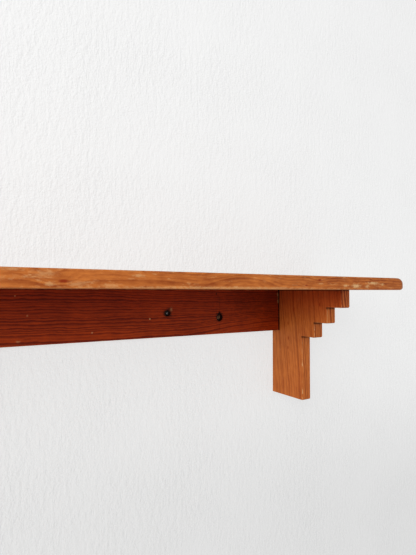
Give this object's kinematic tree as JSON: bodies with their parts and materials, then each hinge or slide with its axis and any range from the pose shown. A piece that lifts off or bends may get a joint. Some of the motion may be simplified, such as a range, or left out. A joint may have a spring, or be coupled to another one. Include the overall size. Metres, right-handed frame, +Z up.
{
  "type": "wall shelf with brackets",
  "caption": "Solid pine wall shelf: one thick board with rounded ends on two stepped brackets, with a back rail screwed to the wall.",
  "frame": {"origin": "centre of the back rail's back face, in the plane of the wall", "axes": "+X along the shelf, to the right of a person who faces it; +Y into the wall; +Z up"},
  "size_m": [1.2, 0.245, 0.22],
  "materials": {
    "board_pine": "aged orange varnish, satin, rubbed pale along the front arris",
    "rail_pine": "dark red-brown stained varnish, satin",
    "bracket_pine": "aged orange varnish, satin, rubbed pale on the corners",
    "plug_pine": "end grain under the same varnish",
    "dowel_beech": "bare beech with fine flutes",
    "board_screw_steel": "plain steel",
    "wall_screw_old_steel": "old browned steel",
    "extra_screw_zinc": "dull zinc plating"
  },
  "bodies": {
    "root": {"shelf_board": "board_pine", "back_rail": "rail_pine", "left_bracket": "bracket_pine", "right_bracket": "bracket_pine", "left_bracket_screw_front": "board_screw_steel", "left_bracket_screw_back": "board_screw_steel", "right_bracket_screw_front": "board_screw_steel", "right_bracket_screw_back": "board_screw_steel", "left_bracket_plug_front": "plug_pine", "left_bracket_plug_back": "plug_pine", "right_bracket_plug_front": "plug_pine", "right_bracket_plug_back": "plug_pine", "rail_screw_left": "board_screw_steel", "rail_screw_middle": "board_screw_steel", "rail_screw_right": "board_screw_steel", "rail_plug_left": "plug_pine", "rail_plug_middle": "plug_pine", "rail_plug_right": "plug_pine", "left_dowel_upper": "dowel_beech", "left_dowel_lower": "dowel_beech", "right_dowel_upper": "dowel_beech", "right_dowel_lower": "dowel_beech", "wall_screw_left": "wall_screw_old_steel", "wall_screw_right": "wall_screw_old_steel", "extra_wall_screw": "extra_screw_zinc"}
  },
  "joints": []
}
